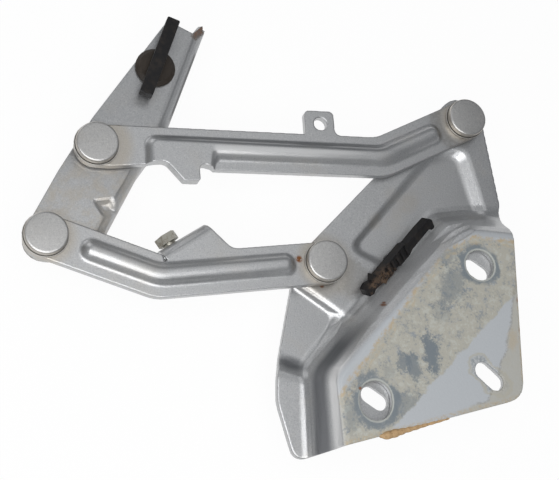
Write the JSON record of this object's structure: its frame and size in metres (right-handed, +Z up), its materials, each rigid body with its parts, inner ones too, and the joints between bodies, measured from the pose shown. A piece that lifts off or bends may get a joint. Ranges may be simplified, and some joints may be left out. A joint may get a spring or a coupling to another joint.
{
  "type": "hood hinge",
  "caption": "Used four-bar car hood hinge of pressed painted steel, with a raised mounting flange, beaded arms, a folded hood bracket and riveted pivots.",
  "frame": {"origin": "middle of the seat on the body, between the two bolt holes of the doubler, in the doubler's rear face", "axes": "+Y points into the body the hinge is bolted to, normal to the seat; -Y is the outer side with the pin heads; +Z is up and +X away from the hood bracket, both in the hinge plane"},
  "size_m": [0.2984, 0.0572, 0.2688],
  "materials": {
    "silver_paint": "satin silver-grey paint, dusty and stained tan, with rust spots",
    "bare_steel": "bare washers",
    "zinc_plate": "zinc plated stop bolt and nut",
    "bush_black": "dark low-friction bushes",
    "black_plastic": "black moulded clips"
  },
  "bodies": {
    "base": {"base_bracket": "silver_paint", "flange_doubler": "silver_paint", "wiring_clip": "black_plastic", "pin_base_lower": "silver_paint", "washer_base_lower": "bare_steel", "tail_washer_base_lower": "bare_steel", "pin_base_upper": "silver_paint", "washer_base_upper": "bare_steel", "tail_washer_base_upper": "bare_steel"},
    "upper_arm_body": {"upper_arm": "silver_paint", "bush_base_upper": "bush_black", "bush_hood_upper": "bush_black"},
    "lower_arm_body": {"lower_arm": "silver_paint", "bush_base_lower": "bush_black", "bush_hood_lower": "bush_black", "pin_hood_lower": "silver_paint", "washer_hood_lower": "bare_steel", "tail_washer_hood_lower": "bare_steel", "stop_bolt": "zinc_plate", "stop_nut": "zinc_plate"},
    "hood_bracket_body": {"hood_bracket": "silver_paint", "pin_hood_upper": "silver_paint", "washer_hood_upper": "bare_steel", "tail_washer_hood_upper": "bare_steel", "clip_foot": "black_plastic", "clip_bar": "black_plastic"}
  },
  "joints": [
    {"name": "upper_arm_swing", "type": "hinge", "parent": "base", "child": "upper_arm_body", "pos_m": [0.038, 0.0137, 0.146], "axis": [0, -1, 0], "range_deg": [-20, 15]},
    {"name": "lower_arm_swing", "type": "hinge", "parent": "base", "child": "lower_arm_body", "pos_m": [-0.0575, 0.0137, 0.042], "axis": [0, -1, 0], "range_deg": [-26.5, 19.9]},
    {"name": "hood_bracket_swing", "type": "hinge", "parent": "upper_arm_body", "child": "hood_bracket_body", "pos_m": [-0.1968, 0.0137, 0.1012], "axis": [0, -1, 0], "range_deg": [-27.4, 36.5]}
  ],
  "couplings": [
    {"joint": "lower_arm_swing", "follows": "upper_arm_swing", "ratio": 1.32},
    {"joint": "hood_bracket_swing", "follows": "upper_arm_swing", "ratio": -1.82}
  ]
}
